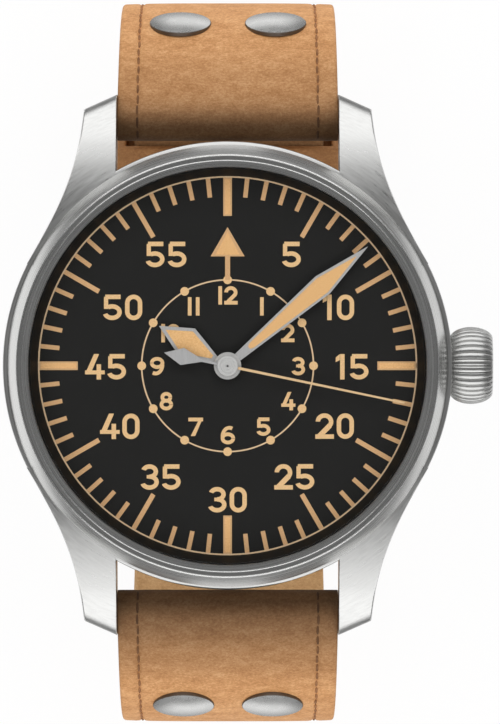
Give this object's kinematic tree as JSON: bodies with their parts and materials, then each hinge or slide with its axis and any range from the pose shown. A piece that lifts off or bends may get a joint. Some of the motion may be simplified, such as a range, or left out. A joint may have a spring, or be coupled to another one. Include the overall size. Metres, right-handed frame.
{
  "type": "pilot watch",
  "caption": "Round steel pilot watch with a matt black dial, sword hands, fluted crown and a riveted leather strap, buckled.",
  "frame": {"origin": "centre of the flat outer face of the case back", "axes": "+Z from the case back to the dial, +Y to twelve o'clock, +X to the crown at three o'clock"},
  "size_m": [0.0461, 0.0698, 0.0547],
  "materials": {
    "case_steel": "satin brushed",
    "bezel_steel": "satin turned",
    "sapphire": "clear",
    "seal": "matt",
    "black_flange": "matt",
    "black_dial": "matt",
    "ring_metal": "turned",
    "plate_metal": "rhodium plated",
    "blue_steel": "blued",
    "ruby": "polished",
    "steel_parts": "polished",
    "wheel_brass": "gilt",
    "hand_steel": "fine brushed",
    "crown_steel": "satin",
    "rotor_metal": "brushed",
    "strap_leather": "oiled, slightly creased",
    "strap_lining": "smooth",
    "rivet_metal": "satin",
    "buckle_steel": "satin",
    "lume": "matt"
  },
  "bodies": {
    "watch": {"case_middle": "case_steel", "bezel": "bezel_steel", "crystal": "sapphire", "crystal_gasket": "seal", "rehaut_ring": "black_flange", "dial": "black_dial", "case_back": "case_steel", "case_back_gasket": "seal", "movement_ring": "ring_metal", "main_plate": "plate_metal", "barrel_bridge": "plate_metal", "train_bridge": "plate_metal", "balance_cock": "plate_metal", "pallet_bridge": "plate_metal", "movement_screws": "blue_steel", "jewels": "ruby", "crown_tube": "case_steel", "rotor_bearing": "steel_parts", "hairspring": "blue_steel", "click": "steel_parts", "spring_bars": "steel_parts", "strap_upper_leather": "strap_leather", "strap_upper_lining": "strap_lining", "strap_lower_leather": "strap_leather", "strap_lower_lining": "strap_lining", "rivets": "rivet_metal", "keeper_fixed": "strap_leather", "buckle_frame": "buckle_steel", "buckle_bar": "buckle_steel"},
    "seconds": {"fourth_wheel": "wheel_brass", "seconds_hand": "hand_steel"},
    "minutes": {"centre_wheel": "wheel_brass", "cannon_pinion": "steel_parts", "minute_hand": "hand_steel", "minute_hand_lume": "lume"},
    "hours": {"hour_wheel": "wheel_brass", "hour_hand": "hand_steel", "hour_hand_lume": "lume"},
    "motion_wheel": {"minute_wheel": "wheel_brass"},
    "third": {"third_wheel": "wheel_brass"},
    "escape": {"escape_wheel": "steel_parts"},
    "barrel": {"barrel_drum": "wheel_brass", "barrel_cover": "wheel_brass", "mainspring": "steel_parts"},
    "arbor": {"barrel_arbor": "steel_parts", "ratchet_wheel": "steel_parts"},
    "winding_wheel": {"crown_wheel": "steel_parts"},
    "clutch": {"winding_pinion": "steel_parts", "sliding_pinion": "steel_parts"},
    "crown": {"winding_stem": "steel_parts", "crown": "crown_steel", "crown_gasket": "seal"},
    "lever": {"setting_lever": "steel_parts"},
    "balance": {"balance_wheel": "wheel_brass"},
    "pallets": {"pallet_fork": "steel_parts"},
    "rotor": {"rotor": "rotor_metal"},
    "keeper": {"keeper_free": "strap_leather"},
    "tongue": {"buckle_tongue": "buckle_steel"}
  },
  "joints": [
    {"name": "seconds_turn", "type": "hinge", "parent": "watch", "child": "seconds", "pos_m": [0, 0, 0.005], "axis": [0, 0, -1], "continuous": true},
    {"name": "minutes_turn", "type": "hinge", "parent": "watch", "child": "minutes", "pos_m": [0, 0, 0.005], "axis": [0, 0, -1], "continuous": true},
    {"name": "hours_turn", "type": "hinge", "parent": "watch", "child": "hours", "pos_m": [0, 0, 0.007], "axis": [0, 0, -1], "continuous": true},
    {"name": "motion_wheel_turn", "type": "hinge", "parent": "watch", "child": "motion_wheel", "pos_m": [0.0026, -0.0015, 0.0066], "axis": [0, 0, -1], "continuous": true},
    {"name": "third_turn", "type": "hinge", "parent": "watch", "child": "third", "pos_m": [-0.00366, -0.00133, 0.004], "axis": [0, 0, -1], "continuous": true},
    {"name": "escape_turn", "type": "hinge", "parent": "watch", "child": "escape", "pos_m": [-0.00031, -0.00349, 0.004], "axis": [0, 0, -1], "continuous": true},
    {"name": "barrel_turn", "type": "hinge", "parent": "watch", "child": "barrel", "pos_m": [0.00279, 0.00598, 0.004], "axis": [0, 0, -1], "continuous": true},
    {"name": "stem_turn", "type": "hinge", "parent": "watch", "child": "clutch", "pos_m": [0, 0, 0.0053], "axis": [1, 0, 0], "continuous": true},
    {"name": "crown_pull", "type": "slide", "parent": "clutch", "child": "crown", "axis": [1, 0, 0], "range_m": [0, 0.001]},
    {"name": "lever_rock", "type": "hinge", "parent": "watch", "child": "lever", "pos_m": [0.01125, -0.0016, 0.0046], "axis": [0, 0, 1], "range_deg": [-36, 0]},
    {"name": "winding_wheel_turn", "type": "hinge", "parent": "watch", "child": "winding_wheel", "pos_m": [0.00635, 0, 0.003], "axis": [0, 0, 1], "continuous": true},
    {"name": "arbor_turn", "type": "hinge", "parent": "watch", "child": "arbor", "pos_m": [0.00279, 0.00598, 0.003], "axis": [0, 0, 1], "continuous": true},
    {"name": "balance_swing", "type": "hinge", "parent": "watch", "child": "balance", "pos_m": [-0.00459, -0.00655, 0.004], "axis": [0, 0, 1], "range_deg": [-270, 270], "stiffness_Nm_per_rad": 0.0000004},
    {"name": "pallet_rock", "type": "hinge", "parent": "watch", "child": "pallets", "pos_m": [-0.00218, -0.00483, 0.0046], "axis": [0, 0, 1], "range_deg": [-5, 5]},
    {"name": "rotor_turn", "type": "hinge", "parent": "watch", "child": "rotor", "pos_m": [0, 0, 0.0015], "axis": [0, 0, 1], "continuous": true},
    {"name": "keeper_slide", "type": "hinge", "parent": "watch", "child": "keeper", "pos_m": [0, 0.01145, -0.01672], "axis": [1, 0, 0], "range_deg": [-10, 12]},
    {"name": "tongue_lift", "type": "hinge", "parent": "watch", "child": "tongue", "pos_m": [0, -0.0016, -0.03892], "axis": [1, 0, 0], "range_deg": [0, 10]}
  ],
  "couplings": [
    {"joint": "minutes_turn", "follows": "seconds_turn", "ratio": 0.016667},
    {"joint": "hours_turn", "follows": "seconds_turn", "ratio": 0.0013889},
    {"joint": "motion_wheel_turn", "follows": "seconds_turn", "ratio": -0.0055556},
    {"joint": "third_turn", "follows": "seconds_turn", "ratio": -0.13333},
    {"joint": "escape_turn", "follows": "seconds_turn", "ratio": -10},
    {"joint": "barrel_turn", "follows": "seconds_turn", "ratio": -0.0027778},
    {"joint": "winding_wheel_turn", "follows": "stem_turn", "ratio": 0.66667},
    {"joint": "arbor_turn", "follows": "stem_turn", "ratio": -0.36364},
    {"joint": "lever_rock", "follows": "crown_pull", "rad_per_m": -625},
    {"joint": "pallet_rock", "follows": "balance_swing", "ratio": 0.018519}
  ]
}
